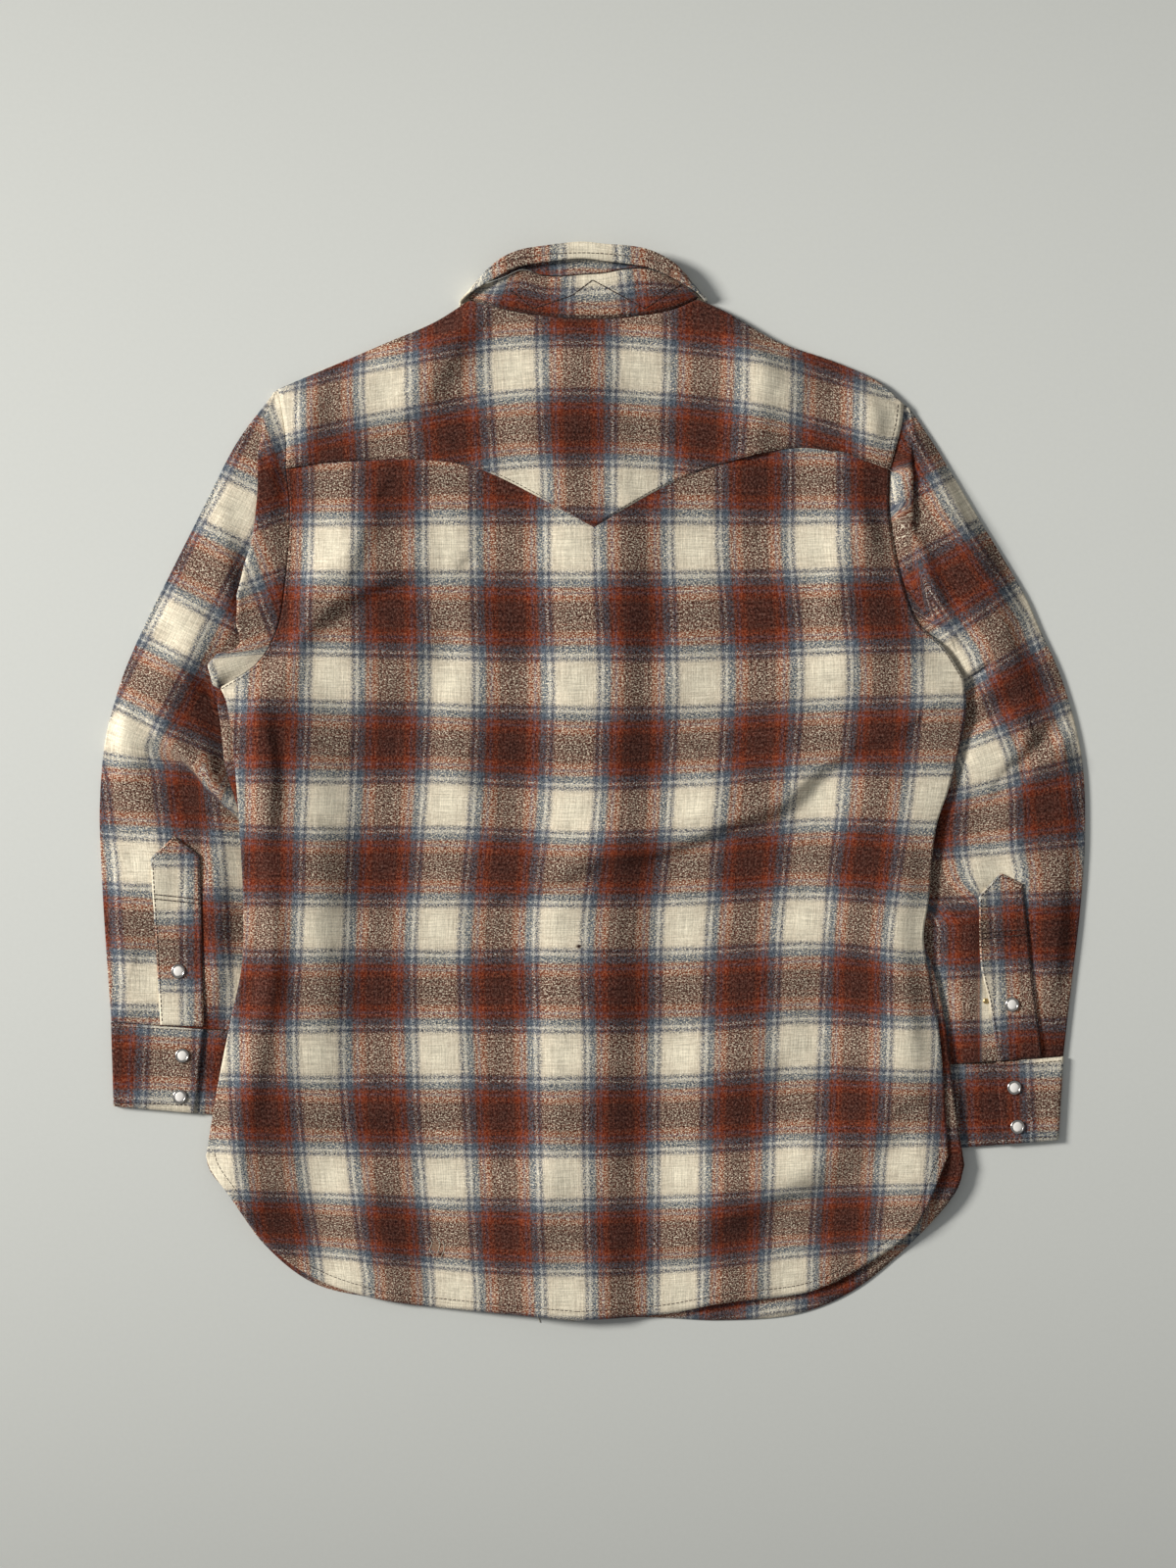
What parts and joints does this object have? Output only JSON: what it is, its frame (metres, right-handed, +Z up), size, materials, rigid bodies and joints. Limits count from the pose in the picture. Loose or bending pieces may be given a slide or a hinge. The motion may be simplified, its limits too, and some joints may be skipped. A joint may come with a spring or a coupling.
{
  "type": "western snap shirt",
  "caption": "Long-sleeved wool plaid western shirt laid flat on its front, back and pointed yoke up, with snap cuffs and sleeve plackets.",
  "frame": {"origin": "middle of the shirt's box, on the surface it lies on", "axes": "+Y from the hem to the collar, +X to the right as seen from above, +Z up out of the back"},
  "size_m": [0.7702, 0.8394, 0.0111],
  "materials": {
    "plaid_wool": "brushed wool twill in a shadow plaid of cream, rust, dark brown, blue and navy, soft nap and heathered yarn",
    "snap_metal": "bright plated brass rim, slightly worn",
    "snap_pearl": "grey-white pearl cap, glossy"
  },
  "bodies": {
    "root": {"front_left": "plaid_wool", "front_right": "plaid_wool", "front_band": "plaid_wool", "back": "plaid_wool", "yoke": "plaid_wool", "sleeve_left": "plaid_wool", "sleeve_right": "plaid_wool", "cuff_left": "plaid_wool", "cuff_right": "plaid_wool", "placket_left": "plaid_wool", "placket_right": "plaid_wool", "collar_stand": "plaid_wool", "collar_leaf": "plaid_wool", "snap_ring_placket_left": "snap_metal", "snap_pearl_placket_left": "snap_pearl", "snap_ring_cuff_left_1": "snap_metal", "snap_pearl_cuff_left_1": "snap_pearl", "snap_ring_cuff_left_2": "snap_metal", "snap_pearl_cuff_left_2": "snap_pearl", "snap_ring_placket_right": "snap_metal", "snap_pearl_placket_right": "snap_pearl", "snap_ring_cuff_right_1": "snap_metal", "snap_pearl_cuff_right_1": "snap_pearl", "snap_ring_cuff_right_2": "snap_metal", "snap_pearl_cuff_right_2": "snap_pearl", "snap_front_1": "snap_metal", "snap_front_2": "snap_metal", "snap_front_3": "snap_metal", "snap_front_4": "snap_metal", "snap_front_5": "snap_metal", "snap_front_6": "snap_metal", "snap_front_7": "snap_metal"}
  },
  "joints": []
}
